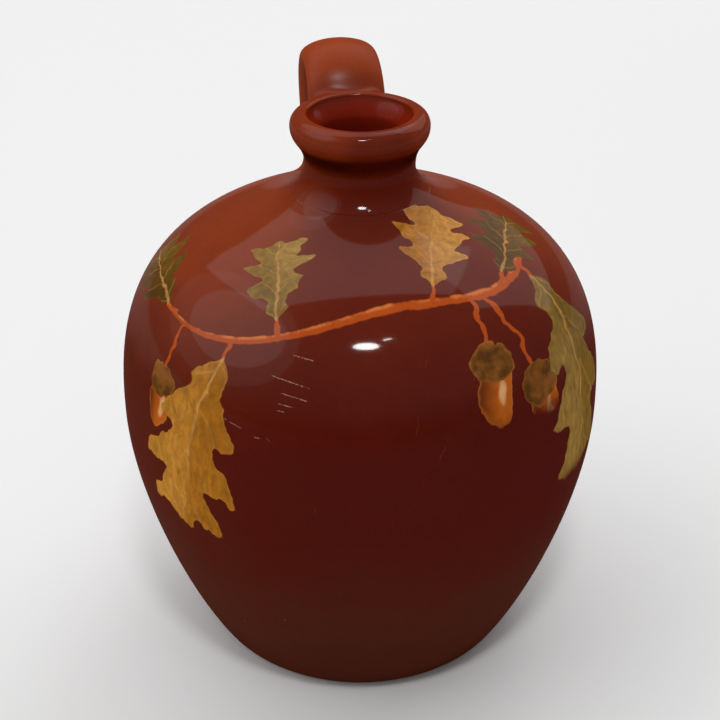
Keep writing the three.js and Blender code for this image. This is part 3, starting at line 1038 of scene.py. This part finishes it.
def zones(paint, x, y, z, radius, cloud, strap):
    """Maroon in front, browner aside, above and over edges, with a painted shadow, nearly black, under the
    rim.
    """
    front = (x * PAINTED_SIDE[0] - y * PAINTED_SIDE[1]) / radius
    aside = paint.smooth(paint.unsteady(front, cloud, ASIDE_WAVER), *ASIDE_ZONE)
    high = paint.smooth(paint.unsteady(z, cloud, HIGH_WAVER), *HIGH_ZONE)
    low = paint.smooth(paint.unsteady(z, cloud, LOW_WAVER), *LOW_ZONE)
    crown = paint.smooth(z, *CROWN_ZONE)
    colour = paint.mixed(aside * 0.8, MAROON, RED_BROWN)
    colour = paint.mixed(high * (0.22 + 0.78 * aside), colour, BROWN)
    colour = paint.mixed(crown, colour, RIM_BROWN)
    cove_shade = paint.both(paint.smooth(z, *COVE_ZONE), paint.smooth(radius, *COVE_RADII))
    colour = paint.mixed(cove_shade * 0.5 * paint.smooth(z, *COVE_TOP), colour, MAROON)
    # Painted shadow under the rim's roll, nearly black, with a lower edge that wanders with the clouds
    shadow_height = z + cloud * RIM_SHADOW_WAVER
    rim_shadow = paint.both(paint.smooth(shadow_height, *RIM_SHADOW_BOTTOM), paint.smooth(shadow_height, *RIM_SHADOW_TOP),
                        paint.smooth(radius, *NECK_RADII))
    colour = paint.mixed(rim_shadow * 0.85, colour, PAINTED_RIM_SHADOW)
    colour = paint.mixed(crown * paint.smooth(front, *FRONT_ZONE) * 0.5, colour, MAROON)
    colour = paint.mixed(low * 0.75, colour, UMBER)
    colour = paint.mixed(strap, colour, STRAP_BROWN)
    inside = paint.both(paint.smooth(radius, *THROAT_RADII), paint.smooth(z, *THROAT_BOTTOM),
                        paint.smooth(z, *THROAT_TOP))
    return paint.mixed(inside * 0.85, colour, THROAT)


def decoration(paint, x, y, z, place, mottle, colour):
    """Acorns, twig and leaves, with the brush's strokes in the leaves."""
    turns = paint.maths("ARCTAN2", x, 0.0 - y)
    spot = paint.node("VectorMath", {"operation": "ADD"}, {0: place, 1: paint.wobble(place)})
    for turn, lean, stalk_length, size in ACORNS:
        colour = acorn(paint, spot, mottle, colour, turn, lean, stalk_length, size)
    colour = twig(paint, z, turns, mottle, colour)
    strokes = paint.noise(spot, BRUSH_WAVES, 3, BRUSH_STRETCH)
    painted = 0.0
    for turn, lean, length, tones in LEAVES:
        colour, mask = oak_leaf(paint, spot, mottle, colour, turn, lean, length, tones)
        painted = paint.maths("MAXIMUM", painted, mask)
    return paint.toned(colour, 1 + painted * (strokes - 0.5) * 1.3)


def depth(paint, place, cloud, mottle, grain, colour):
    """Cloudy pooling, brush streaks and grain, a fine net of cracks, and a few pale specks."""
    streak = paint.noise(place, 1.0, 2, STREAK_STRETCH)
    tone = 0.70 + 0.20 * cloud + 0.18 * mottle + 0.10 * grain + 0.12 * streak
    net = paint.cells(place, CRACK_CELLS, "DISTANCE_TO_EDGE")
    tone = tone - paint.smooth(net, *CRACK_EDGE) * 0.07
    colour = paint.toned(colour, tone)
    cell = paint.cells(place, SPECK_CELLS)
    chosen = paint.cells(place, SPECK_CELLS, output=1)
    speck = paint.both(paint.smooth(cell, *SPECK_EDGE), paint.smooth(chosen, *SPECKS_CHOSEN))
    return paint.mixed(speck * 0.6, colour, SPECK)


def relief(paint, place, grain):
    """Slow waves, throwing rings and pinholes in the glaze's skin, in millimetres."""
    pit = paint.cells(place, PIT_CELLS)
    waves = paint.noise(place, SLOW_WAVES, 1) * SLOW_HEIGHT
    waves = waves + paint.noise(place, FINE_WAVES, 2) * FINE_HEIGHT + grain * GRAIN_HEIGHT
    rings = paint.noise(place, 1.0, 1, RING_STRETCH)
    waves = waves - paint.smooth(pit, *PIT_EDGE) * PIT_DEPTH + rings * RING_HEIGHT
    return paint.node("Bump", None, {"Strength": 1.0, "Distance": MM, "Height": waves})


def glazed(name, decorated, sheen_spread):
    """A deep transparent glaze, maroon in front and warm brown where it lies over edges."""
    paint = Paint(name)
    here = paint.node("TexCoord", output=3)
    place = paint.node("VectorMath", {"operation": "SCALE"}, {0: here, "Scale": 1 / MM})
    x = paint.node("SeparateXYZ", None, {0: place}, 0)
    y = paint.node("SeparateXYZ", None, {0: place}, 1)
    z = paint.node("SeparateXYZ", None, {0: place}, 2)
    radius = paint.maths("MAXIMUM", paint.maths("SQRT", x * x + y * y), 0.01)
    cloud = paint.noise(place, CLOUD_WAVES, 3)
    mottle = paint.noise(place, MOTTLE_WAVES, 4)
    grain = paint.noise(place, GRAIN_WAVES, 2)

    behind = paint.unsteady(y, cloud, STRAP_WAVER)
    strap = paint.both(paint.smooth(behind, *STRAP_BEHIND), paint.smooth(z, *STRAP_ABOVE))
    colour = zones(paint, x, y, z, radius, cloud, strap)
    rough = GLAZE_ROUGHNESS + MOTTLE_ROUGHNESS * mottle + CLOUD_ROUGHNESS * cloud
    if decorated:
        colour = decoration(paint, x, y, z, place, mottle, colour)
    colour = depth(paint, place, cloud, mottle, grain, colour)
    if decorated:
        colour = scratched(paint, place, grain, colour)
        bare = paint.both(paint.smooth(z, *BARE_BELOW), paint.smooth(radius, *BARE_OUTSIDE))
        colour = paint.mixed(bare, colour, BARE_CLAY)
        rough = rough + bare * BARE_ROUGHNESS
    paint.feed(paint.shader.inputs["Base Color"], colour)
    paint.feed(paint.shader.inputs["Roughness"], rough)
    paint.feed(paint.shader.inputs["Normal"], relief(paint, place, grain))

    # The gloss is all in the coat, weak low on the wall, under the rim and on the strap
    under_rim = paint.both(paint.smooth(z, *UNDER_RIM_BOTTOM), paint.smooth(z, *UNDER_RIM_TOP),
                           paint.smooth(radius, *UNDER_RIM_RADII))
    weight = COAT_WEIGHT + COAT_GAIN * paint.smooth(z, *COAT_ZONE)
    weight = weight * (1 - UNDER_RIM_LOSS * under_rim) * (1 - STRAP_LOSS * strap)
    paint.feed(paint.shader.inputs["Coat Weight"], weight)
    paint.shader.inputs["Specular IOR Level"].default_value = 0.0
    paint.shader.inputs["Coat IOR"].default_value = COAT_IOR
    paint.shader.inputs["Coat Roughness"].default_value = sheen_spread
    return paint.material


body_glaze = glazed("painted_red_brown_glaze", True, GLOSS_SPREAD)
neck_glaze = glazed("red_brown_glaze", False, GLOSS_SPREAD)
strap_glaze = glazed("satin_red_brown_glaze", False, SATIN_SPREAD)
belly.data.materials.append(body_glaze)
neck.data.materials.append(neck_glaze)
for piece in (handle, neck_join, shoulder_join):
    piece.data.materials.append(strap_glaze)


# Floor, camera and lights
FLOOR_SIZE = 8
FLOOR_TONE = 0.87
FLOOR_ROUGHNESS = 0.9
WORLD_GLOW = 0.29
# The camera: its turn from the front in radians, its place in millimetres, its pitch in degrees
CAMERA_TURN = -0.19
CAMERA_DISTANCE = 350.0
CAMERA_HEIGHT = 298.3
CAMERA_PITCH = 30.94
CAMERA_LENS = 65.5
# Lamps look at a place on the axis at this height, in metres
LAMP_TARGET = 0.1

bpy.ops.object.select_all(action="DESELECT")
bpy.ops.mesh.primitive_plane_add(size=FLOOR_SIZE, location=(0, 0, 0))
floor = bpy.context.object
floor.name = "studio_floor"
paper = Paint("pale_floor")
paper.shader.inputs["Base Color"].default_value = (FLOOR_TONE, FLOOR_TONE, FLOOR_TONE, 1)
paper.shader.inputs["Roughness"].default_value = FLOOR_ROUGHNESS
paper.shader.inputs["Specular IOR Level"].default_value = 0.0
floor.data.materials.append(paper.material)

camera_x = CAMERA_DISTANCE * math.sin(CAMERA_TURN) * MM
camera_y = -CAMERA_DISTANCE * math.cos(CAMERA_TURN) * MM
bpy.ops.object.camera_add(
    location=(camera_x, camera_y, CAMERA_HEIGHT * MM),
    rotation=(math.radians(90 - CAMERA_PITCH), 0, CAMERA_TURN),
)
camera = bpy.context.object
camera.data.lens = CAMERA_LENS
camera.data.sensor_width = 36
bpy.context.scene.camera = camera
bpy.context.scene.view_settings.view_transform = "Standard"


def area_light(name, turn, height, distance, size, glow, shape="RECTANGLE"):
    """A flat lamp that looks at the jug from a turn (0 in front, 90 to the right) and a height in
    degrees. The glow is how bright its face is, where 1 is white."""
    a = math.radians(turn)
    e = math.radians(height)
    way = Vector((math.sin(a) * math.cos(e), -math.cos(a) * math.cos(e), math.sin(e)))
    place = Vector((0, 0, LAMP_TARGET)) + way * distance
    bpy.ops.object.light_add(type="AREA", location=place, rotation=way.to_track_quat("Z", "Y").to_euler())
    lamp = bpy.context.object
    lamp.name = name
    lamp.data.shape = shape
    lamp.data.size = size[0]
    lamp.data.size_y = size[1]
    area = size[0] * size[1] * (math.pi / 4 if shape == "ELLIPSE" else 1)
    lamp.data.energy = glow * math.pi * area


area_light("left_softbox", -98, 38, 2.4, (3.6, 2.8), 0.42, "ELLIPSE")
area_light("left_softbox_middle", -96, 42, 2.3, (2.2, 1.8), 0.95, "ELLIPSE")
area_light("right_softbox", 128, 36, 2.4, (2.1, 1.9), 1.3)
area_light("rear_softbox", 180, 58, 2.2, (2.6, 1.75), 1.35)
area_light("glint_lamp", -6, 62.5, 0.9, (0.15, 0.08), 60, "ELLIPSE")
area_light("second_glint_lamp", 14, 66, 0.9, (0.05, 0.018), 60, "ELLIPSE")
world = bpy.data.worlds.new("studio")
world.use_nodes = True
world.node_tree.nodes["Background"].inputs["Color"].default_value = (1, 1, 1, 1)
world.node_tree.nodes["Background"].inputs["Strength"].default_value = WORLD_GLOW
bpy.context.scene.world = world

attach(belly, "root")
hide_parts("belly")
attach(neck, "root")
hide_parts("neck")
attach(handle, "root")
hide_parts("handle")
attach(neck_join, "root")
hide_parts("neck_join")
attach(shoulder_join, "root")
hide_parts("shoulder_join")
